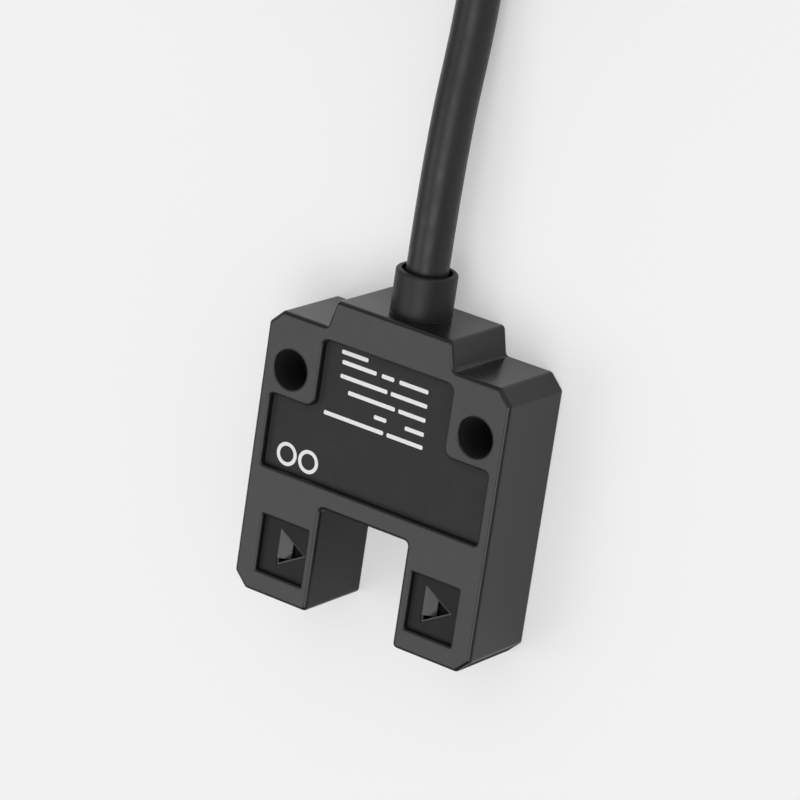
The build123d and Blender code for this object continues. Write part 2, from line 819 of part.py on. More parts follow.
for part_name, side, tie_y in (
    ("hank_tie_right", 1, near_fold_y + right_tie_from_fold),
    ("hank_tie_left", -1, far_fold_y - left_tie_from_fold),
):
    tie_x = hank_x + side * (hank_inner_edge + hank_outer_edge) / 2
    tie_plane = Plane(origin=(tie_x, tie_y, tie_thickness), x_dir=(1, 0, 0), z_dir=(0, -1, 0))
    with BuildPart() as tie:
        with BuildSketch(tie_plane):
            with Locations((0, tie_inner_height / 2)):
                RectangleRounded(
                    tie_inner_width + 2 * tie_thickness,
                    tie_inner_height + 2 * tie_thickness,
                    tie_round + tie_thickness,
                )
                RectangleRounded(tie_inner_width, tie_inner_height, tie_round, mode=Mode.SUBTRACT)
        extrude(amount=tie_width / 2, both=True)
    tie.part.label = part_name
    export_step(tie.part, f"parts/{part_name}.step")


# Stripped end: four cores fanned out on the surface, with tinned tips

def end_place(forward, sideways, height):
    """Point that far past the end of the jacket, in the direction in which it ends."""
    return (
        tail_points[-1][0] + forward * tail_sin + sideways * tail_cos,
        tail_points[-1][1] - forward * tail_cos + sideways * tail_sin,
        height,
    )


end_direction = (tail_sin, -tail_cos, 0)
tip_starts = []
for colour, (across, up) in end_core_sides.items():
    first_run, middle_run, last_run = end_core_runs
    start_side = across * end_core_offset
    start_z = hank_z + up * end_core_offset
    rest_side = end_core_lay[colour]
    end_points = [
        end_place(0, start_side, start_z),
        end_place(first_run, start_side, start_z),
        end_place(first_run + middle_run, rest_side, end_core_diameter / 2),
        end_place(first_run + middle_run + last_run, rest_side, end_core_diameter / 2),
    ]
    end_radii = corner_radii(end_points)
    print("core", colour, "radii", [round(radius, 1) for radius in end_radii])
    with BuildPart() as end_core:
        with BuildLine() as end_route:
            FilletPolyline(*end_points, radius=end_radii)
        with BuildSketch(Plane(origin=end_points[0], z_dir=end_direction)):
            Circle(end_core_diameter / 2)
        sweep(path=end_route.line)
    end_core.part.label = f"core_{colour}"
    export_step(end_core.part, f"parts/core_{colour}.step")
    tip_starts.append(end_points[-1])

with BuildPart() as core_tips:
    for tip_start in tip_starts:
        with BuildSketch(Plane(origin=tip_start, z_dir=end_direction)):
            Circle(core_tip_diameter / 2)
        extrude(amount=core_tip_length)
core_tips.part.label = "core_tips"
export_step(core_tips.part, "parts/core_tips.step")
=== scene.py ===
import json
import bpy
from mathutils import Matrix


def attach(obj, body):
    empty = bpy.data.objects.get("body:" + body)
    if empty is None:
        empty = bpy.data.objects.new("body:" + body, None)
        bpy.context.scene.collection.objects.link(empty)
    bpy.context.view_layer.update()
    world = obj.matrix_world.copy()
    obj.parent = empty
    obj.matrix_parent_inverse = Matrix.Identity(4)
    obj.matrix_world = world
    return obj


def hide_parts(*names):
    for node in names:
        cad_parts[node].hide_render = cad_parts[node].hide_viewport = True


bl_info = {
    "name": "Fork sensor",
    "version": (1, 0, 0),
    "blender": (4, 5, 0),
    "location": "3D View > Sidebar > Fork sensor",
    "description": "Dresses the fork sensor: its moulding, label print, lead, parts inside and stage",
    "category": "Object",
}

from math import cos, radians, sin

import bpy
from mathutils import Matrix, Vector

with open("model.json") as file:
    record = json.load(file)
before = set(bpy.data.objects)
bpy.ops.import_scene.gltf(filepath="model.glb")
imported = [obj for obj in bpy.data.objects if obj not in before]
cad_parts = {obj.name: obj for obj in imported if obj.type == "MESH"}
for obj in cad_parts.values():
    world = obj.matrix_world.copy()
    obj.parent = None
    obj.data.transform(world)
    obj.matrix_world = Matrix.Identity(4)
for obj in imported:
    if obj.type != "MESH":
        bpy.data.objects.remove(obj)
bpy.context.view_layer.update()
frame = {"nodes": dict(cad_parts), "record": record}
nodes = frame["nodes"]
node_slots = {part["node"]: part["material_slot"] for part in frame["record"]["subparts"]}
body = "root"
mm = 0.001


def length_property(name, description, millimetres):
    return bpy.props.FloatProperty(
        name=name, description=description, default=millimetres * mm, unit="LENGTH", subtype="DISTANCE"
    )


def factor_property(name, description, value):
    return bpy.props.FloatProperty(
        name=name, description=description, default=value, min=0.0, max=1.0, subtype="FACTOR"
    )


def number_property(name, description, value):
    return bpy.props.FloatProperty(name=name, description=description, default=value, min=0.0)


def colour_property(name, description, value):
    return bpy.props.FloatVectorProperty(
        name=name, description=description, default=value, size=3, min=0.0, max=1.0, subtype="COLOR"
    )


# Sizes and colours that a user would change


class LeadSettings(bpy.types.PropertyGroup):
    diameter: length_property("Diameter", "Outside diameter of the lead's jacket", 4.0)
    fold_radius: length_property("Fold", "Radius of the hank's inner turns at its ends", 12.0)
    run: length_property("Run", "Length of the hank's straight sides", 26.4)
    lift: length_property("Lift", "Height that the ties under the hank raise it by", 0.5)
    jacket_colour: colour_property("Jacket", "Colour of the jacket", (0.014, 0.014, 0.0145))
    jacket_roughness: factor_property("Roughness", "Roughness of the jacket", 0.36)
    refractive_index: number_property("Index", "Refractive index of the jacket", 1.36)


class TieSettings(bpy.types.PropertyGroup):
    width: length_property("Width", "Width of a tie along the lead", 3.0)
    thickness: length_property("Thickness", "Thickness of a tie's strip", 0.5)
    slack: length_property("Slack", "Space between a tie and the lead", 0.1)
    colour: colour_property("Tie", "Colour of the ties", (0.55, 0.55, 0.54))


class LeadEndSettings(bpy.types.PropertyGroup):
    brown: colour_property("Brown core", "Colour of the supply core", (0.19, 0.075, 0.03))
    blue: colour_property("Blue core", "Colour of the return core", (0.02, 0.1, 0.42))
    black: colour_property("Black core", "Colour of the first output's core", (0.02, 0.02, 0.02))
    white: colour_property("White core", "Colour of the second output's core", (0.78, 0.78, 0.75))


class MouldingSettings(bpy.types.PropertyGroup):
    colour: colour_property("Plastic", "Colour of the moulded plastic", (0.0065, 0.0065, 0.0068))
    roughness: factor_property("Roughness", "Roughness of the moulded plastic", 0.21)
    refractive_index: number_property("Index", "Refractive index of the plastic", 1.4)
    grain: length_property("Grain", "Size of the grain that the mould leaves on the plastic", 0.12)
    edge: length_property("Edge", "Radius that the rims of recesses and slot look rounded by", 0.34)
    floor_colour: colour_property("Recess", "Colour of the square recesses' floors", (0.008, 0.008, 0.0082))
    label_colour: colour_property("Label", "Colour of the label's matt ground", (0.0175, 0.0175, 0.018))
    # The ramps are the same black plastic; this lighter colour is a painted highlight for the soft light
    # their slope catches
    ramp_painted_highlight: colour_property("Arrows", "Colour of the ramps in the arrows", (0.055, 0.055, 0.0565))
    floor_roughness: factor_property("Recess roughness", "Roughness of the recesses' floors", 0.7)


class PrintSettings(bpy.types.PropertyGroup):
    bar_height: length_property("Bar height", "Height of a printed bar", 0.4)
    thickness: length_property("Thickness", "Thickness of the ink", 0.012)
    ring: length_property("Ring", "Outside diameter of a printed ring", 2.3)
    stroke: length_property("Stroke", "Width of the line that a ring is drawn with", 0.36)
    colour: colour_property("Ink", "Colour of the ink", (0.7, 0.7, 0.7))


class InsideSettings(bpy.types.PropertyGroup):
    laminate: colour_property("Board", "Colour of the board", (0.02, 0.14, 0.06))
    brass: colour_property("Ferrule", "Colour of the ferrule", (0.62, 0.44, 0.2))
    tin: colour_property("Tin", "Colour of tinned metal", (0.66, 0.66, 0.64))


class StageSettings(bpy.types.PropertyGroup):
    floor_colour: colour_property("Floor", "Colour of the floor", (0.84, 0.84, 0.84))
    sky: number_property("Sky", "Strength of the light from all round", 0.4)
    softbox: number_property("Softbox", "Strength of the soft light high on the left", 2.15)
    overhead: number_property("Overhead", "Strength of the soft light overhead", 3.2)
    fill: number_property("Fill", "Strength of the soft light behind", 0.55)
    backdrop: factor_property("Backdrop", "Share of the floor that shows no shadow", 0.35)
    lens: number_property("Lens", "Focal length in millimetres", 195.203)


# Materials


def feed(tree, socket, value):
    """Links a node's input to another node's output, or gives it a number."""
    if isinstance(value, bpy.types.NodeSocket):
        tree.links.new(value, socket)
    else:
        socket.default_value = value


def math_node(tree, operation, first, second):
    """Result of a Math node, worked out from two numbers or outputs."""
    made = tree.nodes.new("ShaderNodeMath")
    made.operation = operation
    feed(tree, made.inputs[0], first)
    feed(tree, made.inputs[1], second)
    return made.outputs["Value"]


def tint(colour, factor):
    return tuple(min(1.0, part * factor) for part in colour)


class Finish:
    """A material under construction: its shader, and nodes that read the piece's own coordinates."""

    def __init__(self, name):
        self.material = bpy.data.materials.new(name)
        self.material.use_nodes = True
        self.tree = self.material.node_tree
        self.shader = self.tree.nodes["Principled BSDF"]
        self.place = self.node("ShaderNodeTexCoord").outputs["Object"]

    def node(self, kind, **settings):
        made = self.tree.nodes.new(kind)
        for key, value in settings.items():
            setattr(made, key, value)
        return made

    def join(self, source, target):
        self.tree.links.new(source, target)

    def noise(self, size, detail=3.0, roughness=0.5, stretch=(1.0, 1.0, 1.0)):
        """Cloudy value from 0 to 1, with spots of that size in metres."""
        spread = self.node("ShaderNodeMapping")
        spread.inputs["Scale"].default_value = stretch
        cloud = self.node("ShaderNodeTexNoise")
        cloud.inputs["Scale"].default_value = 1.0 / size
        cloud.inputs["Detail"].default_value = detail
        cloud.inputs["Roughness"].default_value = roughness
        self.join(self.place, spread.inputs["Vector"])
        self.join(spread.outputs["Vector"], cloud.inputs["Vector"])
        return cloud.outputs["Fac"]

    def span(self, value, low, high):
        """The value from 0.3 to 0.7 spread out to low to high."""
        ranged = self.node("ShaderNodeMapRange")
        ranged.inputs["From Min"].default_value = 0.3
        ranged.inputs["From Max"].default_value = 0.7
        ranged.inputs["To Min"].default_value = low
        ranged.inputs["To Max"].default_value = high
        self.join(value, ranged.inputs["Value"])
        return ranged.outputs["Result"]

    def calculate(self, operation, first, second):
        return math_node(self.tree, operation, first, second)

    def either(self, *masks):
        """1 where one of the masks is 1, else 0."""
        joined = masks[0]
        for mask in masks[1:]:
            joined = self.calculate("MAXIMUM", joined, mask)
        return joined

    def mix_number(self, share, first, second):
        """The first value where the share is 0, the second where it is 1."""
        made = self.node("ShaderNodeMix", data_type="FLOAT")
        # A Mix node's inputs 0, 2 and 3 are its share and its two numbers
        for index, value in ((0, share), (2, first), (3, second)):
            feed(self.tree, made.inputs[index], value)
        return made.outputs[0]

    def mix_colour(self, share, first, second):
        """The first colour where the share is 0, the second where it is 1."""
        made = self.node("ShaderNodeMix", data_type="RGBA")
        self.join(share, made.inputs[0])
        # A Mix node's inputs 6 and 7 are its two colours, and output 2 is their blend
        for index, colour in ((6, first), (7, second)):
            is_output = isinstance(colour, bpy.types.NodeSocket)
            feed(self.tree, made.inputs[index], colour if is_output else (*colour, 1.0))
        return made.outputs[2]

    def shades(self, share, colour, darkest, lightest):
        """That colour times darkest where the share is 0, and times lightest where it is 1."""
        return self.mix_colour(share, tint(colour, darkest), tint(colour, lightest))

    def in_box(self, corners, both_sides=False):
        """1 inside a box given by two corners in millimetres, and if asked in its mirror image, else 0."""
        parts = self.node("ShaderNodeSeparateXYZ")
        self.join(self.place, parts.inputs["Vector"])
        inside = None
        for axis, near, far in zip("XYZ", *corners):
            value = parts.outputs[axis]
            if both_sides and axis == "X":
                value = self.calculate("ABSOLUTE", value, 0.0)
            test = self.node("ShaderNodeMath", operation="COMPARE")
            self.join(value, test.inputs[0])
            test.inputs[1].default_value = (near + far) / 2 * mm
            test.inputs[2].default_value = (far - near) / 2 * mm
            between = test.outputs["Value"]
            inside = between if inside is None else self.calculate("MULTIPLY", inside, between)
        return inside

    def past_corner(self, reach):
        """1 where X away from the middle and -Y add up to more than that reach in metres, else 0."""
        parts = self.node("ShaderNodeSeparateXYZ")
        self.join(self.place, parts.inputs["Vector"])
        across = self.calculate("ABSOLUTE", parts.outputs["X"], 0.0)
        return self.calculate("GREATER_THAN", self.calculate("SUBTRACT", across, parts.outputs["Y"]), reach)

    def relief(self, height, depth, edge=None):
        """Bumps of that depth, on a surface whose sharp edges look rounded by that radius."""
        bump = self.node("ShaderNodeBump")
        bump.inputs["Distance"].default_value = depth
        if edge is not None:
            rounded = self.node("ShaderNodeBevel", samples=8)
            self.join(edge, rounded.inputs["Radius"])
            self.join(rounded.outputs["Normal"], bump.inputs["Normal"])
        self.join(height, bump.inputs["Height"])
        self.join(bump.outputs["Normal"], self.shader.inputs["Normal"])

    def colour(self, value):
        self.join(value, self.shader.inputs["Base Color"])

    def roughness(self, value):
        self.join(value, self.shader.inputs["Roughness"])


def plain_moulding(name, colour, roughness, grain=0.1 * mm, depth=0.004 * mm, variation=0.12):
    """Moulded plastic, rubber or resin: cloudy colour, fine grain and uneven gloss."""
    made = Finish(name)
    made.colour(made.shades(made.noise(1.5 * mm), colour, 1 - variation, 1 + variation))
    made.roughness(made.span(made.noise(0.9 * mm), roughness - 0.05, roughness + 0.06))
    made.relief(made.noise(grain, detail=2.0), depth)
    return made.material


def metal(name, colour, roughness, stretch=(1.0, 1.0, 1.0)):
    """Metal with streaks along one way and dull patches."""
    made = Finish(name)
    made.shader.inputs["Metallic"].default_value = 1.0
    streaks = made.noise(0.2 * mm, detail=4.0, stretch=stretch)
    made.colour(made.shades(made.noise(1.2 * mm), colour, 0.86, 1.08))
    made.roughness(made.span(streaks, roughness - 0.08, roughness + 0.12))
    made.relief(streaks, 0.003 * mm)
    return made.material


# Places of the housing with a finish of their own: two corners of a box each, in millimetres.
# All but the label's floor, the ramps, the boss and the spout have a mirror image across X.
label_floor = (-12.5, -4.8, 7.8), (12.5, 9.2, 7.9)
label_rims = (0.0, -5.3, 7.7), (13.0, 9.7, 8.7)
square_floors = (5.95, -15.2, 7.95), (11.35, -9.4, 8.05)
square_rims = (5.6, -15.5, 8.2), (11.7, -9.1, 8.7)
pockets = (5.95, -15.2, 6.5), (11.35, -9.4, 8.2)
arrow_floors = (5.95, -15.2, 6.55), (11.35, -9.4, 6.85)
# Ramps in the arrows, which get a lighter colour as a painted highlight
arrow_ramps = (
    ((-9.5, -13.4, 7.15), (-8.34, -10.3, 7.97)),
    ((7.3, -13.4, 7.15), (8.46, -10.3, 7.97)),
)
slot_walls = (0.0, -17.3, -0.1), (5.02, -6.9, 8.3)
slot_rims = (0.0, -17.0, 8.1), (5.5, -6.5, 8.7)
hole_walls = (8.5, 3.1, -0.1), (12.5, 7.2, 8.5)
spout = (-4.0, 13.2, 0.0), (4.0, 17.4, 8.7)
boss_and_spout = (-14.0, 10.2, -0.1), (14.0, 17.4, 8.7)
# The chamfers at the tips of the prongs lie past this sum of X and -Y
chamfer_reach = 29.52 * mm
# Roughness of the slot's walls and the spout
satin = 0.48
# Shares of the edge radius that the housing's plain edges and its sharp ones have
plain_edges, sharp_edges = 0.6, 0.15


def housing_plastic(settings):
    """Semi-gloss black moulding, satin in the slot and on the spout, matt on the floors of its recesses,
    with a painted highlight on the ramps in the arrows.
    """
    made = Finish("housing_plastic")
    made.shader.inputs["IOR"].default_value = settings.refractive_index
    label = made.in_box(label_floor)
    arrows = made.in_box(arrow_floors, both_sides=True)
    floors = made.either(label, made.in_box(square_floors, both_sides=True), arrows)

    clouds = made.noise(2.5 * mm, detail=4.0)
    body_tone = made.shades(clouds, settings.colour, 0.9, 1.1)
    floor_tone = made.shades(clouds, settings.floor_colour, 0.88, 1.12)
    label_tone = made.shades(clouds, settings.label_colour, 0.95, 1.05)
    tone = made.mix_colour(label, made.mix_colour(floors, body_tone, floor_tone), label_tone)
    # Painted highlight: the ramps in the arrows are coloured lighter than the plastic, for the light their
    # slope catches
    for ramp in arrow_ramps:
        tone = made.mix_colour(made.in_box(ramp), tone, settings.ramp_painted_highlight)
    made.colour(tone)

    patches = made.noise(1.4 * mm)
    body_gloss = made.span(patches, settings.roughness - 0.03, settings.roughness + 0.04)
    floor_gloss = made.span(patches, settings.floor_roughness - 0.03, settings.floor_roughness + 0.04)
    gloss = made.mix_number(floors, body_gloss, floor_gloss)
    gloss = made.mix_number(made.in_box(slot_walls, both_sides=True), gloss, satin)
    gloss = made.mix_number(made.in_box(spout), gloss, satin)
    matt = made.either(arrows, made.past_corner(chamfer_reach), made.in_box(hole_walls, both_sides=True))
    made.roughness(made.mix_number(matt, gloss, 1.0))

    rims = made.either(
        *(made.in_box(place, both_sides=True) for place in (slot_rims, label_rims, square_rims))
    )
    sharp = made.either(made.in_box(pockets, both_sides=True), made.in_box(boss_and_spout))
    edge = made.mix_number(rims, plain_edges * settings.edge, settings.edge)
    edge = made.mix_number(sharp, edge, sharp_edges * settings.edge)
    made.relief(made.noise(settings.grain, detail=2.0, roughness=0.6), 0.002 * mm, edge=edge)
    return made.material


def lead_jacket(settings):
    """Soft jacket: satin, slightly uneven, with faint scuffs from handling."""
    made = Finish("lead_jacket")
    made.shader.inputs["IOR"].default_value = settings.refractive_index
    made.colour(made.shades(made.noise(3 * mm), settings.jacket_colour, 0.88, 1.15))
    roughness = settings.jacket_roughness
    made.roughness(made.span(made.noise(1.1 * mm), roughness - 0.05, roughness + 0.08))
    fine = made.noise(0.15 * mm, detail=2.0)
    slow = made.noise(2.2 * mm, detail=1.0)
    made.relief(made.calculate("ADD", made.calculate("MULTIPLY", fine, 0.25), slow), 0.02 * mm)
    return made.material


def board_laminate(settings):
    """Glass laminate under a green coat: the weave shows as faint relief."""
    made = Finish("board_laminate")
    threads = []
    for way in ("X", "Y"):
        bands = made.node("ShaderNodeTexWave", wave_type="BANDS", bands_direction=way)
        bands.inputs["Scale"].default_value = 500.0
        made.join(made.place, bands.inputs["Vector"])
        threads.append(bands.outputs["Fac"])
    weave = made.calculate("MULTIPLY", *threads)
    made.colour(made.shades(weave, settings.laminate, 0.85, 1.2))
    made.roughness(made.span(made.noise(0.8 * mm), 0.3, 0.42))
    made.relief(weave, 0.004 * mm)
    return made.material


def lens_resin(name, colour):
    """Cast resin that light passes through."""
    made = Finish(name)
    made.shader.inputs["Transmission Weight"].default_value = 0.75
    made.shader.inputs["IOR"].default_value = 1.54
    made.colour(made.shades(made.noise(0.9 * mm), colour, 0.9, 1.1))
    made.roughness(made.span(made.noise(0.3 * mm), 0.05, 0.12))
    made.relief(made.noise(0.4 * mm, detail=1.0), 0.002 * mm)
    return made.material


def ceramic(name, colour):
    """Fired body of a chip, cloudy and a little rough."""
    made = Finish(name)
    clouds = made.noise(0.3 * mm, detail=5.0)
    made.colour(made.shades(clouds, colour, 0.8, 1.2))
    made.roughness(made.span(clouds, 0.35, 0.6))
    made.relief(made.noise(0.06 * mm), 0.004 * mm)
    return made.material


def paint(obj, material):
    """Gives every face of a piece this material."""
    obj.data.materials.clear()
    obj.data.materials.append(material)


def dress(slot, material):
    """Gives a material to each CAD node whose finish comes from that slot."""
    for name, node_slot in node_slots.items():
        if node_slot == slot and name in nodes:
            for place in nodes[name].material_slots:
                place.material = material


# Mesh tools


def deselect_all():
    if bpy.context.object is not None and bpy.context.object.mode != "OBJECT":
        bpy.ops.object.mode_set(mode="OBJECT")
    bpy.ops.object.select_all(action="DESELECT")


def add_box(name, size, place):
    """A box of that size with its middle at that place, left in object mode."""
    deselect_all()
    bpy.ops.mesh.primitive_cube_add(size=1.0, location=place)
    made = bpy.context.object
    made.name = name
    bpy.ops.object.mode_set(mode="EDIT")
    bpy.ops.mesh.select_all(action="SELECT")
    bpy.ops.transform.resize(value=size)
    bpy.ops.object.mode_set(mode="OBJECT")
    return made


def select_edges(obj, wanted):
    """Selects in edit mode the edges whose two ends pass the test."""
    bpy.ops.object.mode_set(mode="EDIT")
    bpy.ops.mesh.select_mode(type="EDGE")
    bpy.ops.mesh.select_all(action="DESELECT")
    bpy.ops.object.mode_set(mode="OBJECT")
    for edge in obj.data.edges:
        first, second = (obj.data.vertices[i].co for i in edge.vertices)
        edge.select = wanted(first, second)
    bpy.ops.object.mode_set(mode="EDIT")


# Camera


class FORKSENSOR_OT_camera(bpy.types.Operator):
    """Places the camera as the photograph was taken"""

    bl_idname = "forksensor.camera"
    bl_label = "Place the camera"

    def execute(self, context):
        data = bpy.data.cameras.new("camera")
        data.sensor_width = 36.0
        data.lens = context.scene.forksensor_stage.lens
        data.clip_start = 0.01
        data.clip_end = 50.0
        camera = bpy.data.objects.new("camera", data)
        context.scene.collection.objects.link(camera)
        # Place and directions come from a fit to edges and corners of the housing
        place = Vector((0.205004, 0.130823, 0.323344))
        right = Vector((0.80541, 0.141198, -0.575654))
        up = Vector((-0.294453, 0.938205, -0.18185))
        back = right.cross(up).normalized()
        up = back.cross(right).normalized()
        turned = Matrix((right.normalized(), up, back)).transposed().to_4x4()
        camera.matrix_world = Matrix.Translation(place) @ turned
        context.scene.camera = camera
        return {"FINISHED"}


# Lead and its ties


# Middle of the hank's near fold, and how much wider its turns are laid than their curve comes out
fold_x, near_y = -7.856 * mm, 71.667 * mm
swell = 1.008
# Outer turns on top of each other; the inner ones are one fewer
layers = 4


def lead_route(settings):
    """Points of the lead from the spout through its hank to the stripped end."""
    diameter = settings.diameter
    low = settings.lift + diameter / 2
    inner = settings.fold_radius
    outer = inner + diameter
    far_y = near_y + settings.run
    route = [
        Vector((0.0, 17.275 * mm, 4.3 * mm)),
        Vector((0.0, 29.275 * mm, 4.3 * mm)),
        Vector((0.0, 41.275 * mm, low)),
        Vector((0.0, 53.275 * mm, low)),
        Vector((6.0 * mm, 63.667 * mm, low)),
    ]
    # Angles in degrees: from point to point, of a turn's climb, and start and width of the jog inwards
    step, climb, jog_start, jog = 20, 130, 30, 120
    # End of the far fold: from 180 on, an angle counts to the near fold
    far_end = 179.9

    def add(angle, distance, height):
        """A point at that angle round the near fold from 180 degrees on, else round the far fold."""
        centre_y = near_y if angle >= 180 else far_y
        turn = radians(angle)
        across = Vector((distance * swell * cos(turn), distance * swell * sin(turn), 0.0))
        route.append(Vector((fold_x, centre_y, height)) + across)

    def add_run(side, distance, heights, start, end):
        """Two points between the ends of a straight side, at a third and two thirds of it."""
        for share, height in zip((1 / 3, 2 / 3), heights):
            along = start + (end - start) * share
            route.append(Vector((fold_x + side * distance * swell, along, height)))

    # Outer turns: each climbs one diameter in the near fold, over the lead that comes in
    for layer in range(layers):
        height = low + layer * diameter
        if layer > 0:
            for angle in range(180, 340, step):
                add(angle, outer, height - diameter * max(0.0, 1 - (angle - 180) / climb))
        add(340, outer, height)
        add(360, outer, height)
        add_run(1, outer, (height, height), near_y, far_y)
        is_top = layer == layers - 1
        for angle in range(0, 180, step):
            inwards = min(1.0, max(0.0, (angle - jog_start) / jog)) if is_top else 0.0
            add(angle, outer - diameter * inwards, height)
        if not is_top:
            add(far_end, outer, height)
            add_run(-1, outer, (height, height), far_y, near_y)
    # Inner turns: back down, each sinks one diameter along its left side
    for layer in range(layers - 1, 0, -1):
        height = low + layer * diameter
        add(far_end, inner, height)
        add_run(-1, inner, (height, height - 0.12 * diameter), far_y, near_y)
        for angle, sunk in ((180, 0.6), (200, 0.9)):
            add(angle, inner, height - sunk * diameter)
        height -= diameter
        for angle in range(220, 361, step):
            add(angle, inner, height)
        add_run(1, inner, (height, height), near_y, far_y)
        for angle in range(0, 180, step):
            add(angle, inner, height)
    # Free end: straight through the tie, then inwards
    add(far_end, inner, low)
    tail = Vector((fold_x - inner, far_y - 10 * mm, low))
    route.append(tail)
    route.append(tail + 10 * mm * Vector((sin(radians(25)), -cos(radians(25)), 0.0)))
    return route


def sleeve(name, left, right, bottom, top, place_y, width):
    """A box without its two ends along Y, left in edit mode."""
    made = add_box(
        name, (right - left, width, top - bottom), ((left + right) / 2, place_y, (bottom + top) / 2)
    )
    bpy.ops.object.transform_apply(location=True, rotation=True, scale=True)
    bpy.ops.object.mode_set(mode="EDIT")
    bpy.ops.mesh.select_mode(type="FACE")
    bpy.ops.mesh.select_all(action="DESELECT")
    bpy.ops.object.mode_set(mode="OBJECT")
    for face in made.data.polygons:
        face.select = abs(face.normal.y) > 0.9
    bpy.ops.object.mode_set(mode="EDIT")
    bpy.ops.mesh.delete(type="ONLY_FACE")
    return made


def hank_tie(name, ties, lead, tall_x, low_x, place_y):
    """A strip round the outer turns at tall_x and the inner ones, one fewer, at low_x."""
    reach = lead.diameter / 2 + ties.slack
    left, right = min(tall_x, low_x) - reach, max(tall_x, low_x) + reach
    bottom = ties.thickness
    top = lead.lift + layers * lead.diameter + ties.slack
    tie = sleeve(name, left, right, bottom, top, place_y, ties.width)
    low_side, tall_side, inwards = (left, right, 1) if low_x < tall_x else (right, left, -1)

    def bevel_edges(spots, offset, segments):
        """Bevels the edges along the tie's width that stand at these places in X and Z."""

        def is_there(first, second):
            if abs(first.y - second.y) < ties.width / 2:
                return False
            return any(max(abs(first.x - x), abs(first.z - z)) < 0.001 * mm for x, z in spots)

        select_edges(tie, is_there)
        bpy.ops.mesh.bevel(offset=offset, segments=segments, affect="EDGES")

    # The top slopes down to the lower turns at 45 degrees, and the corners follow the lead
    slope = lead.diameter + (2 - 2 ** 0.5) * reach
    bevel_edges([(low_side, top)], slope, 1)
    bevel_edges([(low_side + inwards * slope, top), (low_side, top - slope)], 0.4 * reach, 5)
    bevel_edges([(left, bottom), (right, bottom), (tall_side, top)], 0.8 * reach, 7)
    bpy.ops.mesh.select_all(action="SELECT")
    bpy.ops.mesh.normals_make_consistent(inside=False)
    bpy.ops.object.mode_set(mode="OBJECT")
    strip = tie.modifiers.new("strip", "SOLIDIFY")
    strip.thickness = ties.thickness
    strip.offset = 1.0
    bpy.ops.object.modifier_apply(modifier=strip.name)
    rounding = tie.modifiers.new("rounding", "BEVEL")
    rounding.width = 0.12 * mm
    rounding.segments = 2
    rounding.limit_method = "ANGLE"
    bpy.ops.object.modifier_apply(modifier=rounding.name)
    bpy.ops.object.shade_smooth_by_angle(angle=radians(35))
    return tie


class FORKSENSOR_OT_ties(bpy.types.Operator):
    """Puts a tie round each long side of the hank"""

    bl_idname = "forksensor.ties"
    bl_label = "Tie the hank"

    def execute(self, context):
        ties, lead = context.scene.forksensor_ties, context.scene.forksensor_lead
        inner, outer = swell * lead.fold_radius, swell * (lead.fold_radius + lead.diameter)
        # The right tie is beside the near fold, the left one beside the far fold
        right_y, left_y = near_y + 6.0 * mm, near_y + lead.run - 2.5 * mm
        right = hank_tie("tie_right", ties, lead, fold_x + outer, fold_x + inner, right_y)
        left = hank_tie("tie_left", ties, lead, fold_x - inner, fold_x - outer, left_y)
        made = plain_moulding("tie_plastic", ties.colour, 0.45, variation=0.05)
        for tie, node in ((right, "hank_tie_right"), (left, "hank_tie_left")):
            paint(tie, made)
            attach(tie, body)
            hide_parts(node)
        return {"FINISHED"}


class FORKSENSOR_OT_lead(bpy.types.Operator):
    """Lays the lead from the spout through its tied hank to the stripped end"""

    bl_idname = "forksensor.lead"
    bl_label = "Lay the lead"

    def execute(self, context):
        settings = context.scene.forksensor_lead
        route = lead_route(settings)
        data = bpy.data.curves.new("lead", "CURVE")
        data.dimensions = "3D"
        spline = data.splines.new("NURBS")
        spline.points.add(len(route) - 1)
        for point, place in zip(spline.points, route):
            point.co = (*place, 1.0)
        spline.order_u = 3
        spline.use_endpoint_u = True
        data.resolution_u = 6
        data.render_resolution_u = 6
        data.bevel_depth = settings.diameter / 2
        data.bevel_resolution = 7
        data.use_fill_caps = True
        lead = bpy.data.objects.new("lead", data)
        context.scene.collection.objects.link(lead)
        paint(lead, lead_jacket(settings))
        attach(lead, body)
        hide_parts("cable_jacket", "cable_hank", "cable_tail")
        nodes["cable_inner"].material_slots[0].material = lead.data.materials[0]
        return {"FINISHED"}


class FORKSENSOR_OT_lead_end(bpy.types.Operator):
    """Colours the cores at the stripped end of the lead"""

    bl_idname = "forksensor.lead_end"
    bl_label = "Finish the lead's end"

    def execute(self, context):
        settings = context.scene.forksensor_lead_end
        for colour in ("brown", "blue", "black", "white"):
            slot = f"core_{colour}"
            value = getattr(settings, colour)
            dress(slot, plain_moulding(slot, value, 0.34, grain=0.2 * mm, depth=0.003 * mm))
        return {"FINISHED"}


# Housing and its print


class FORKSENSOR_OT_moulding(bpy.types.Operator):
    """Gives the housing and its rear cover their moulded finish"""

    bl_idname = "forksensor.moulding"
    bl_label = "Finish the housing"

    def execute(self, context):
        dress("housing_plastic", housing_plastic(context.scene.forksensor_moulding))
        return {"FINISHED"}


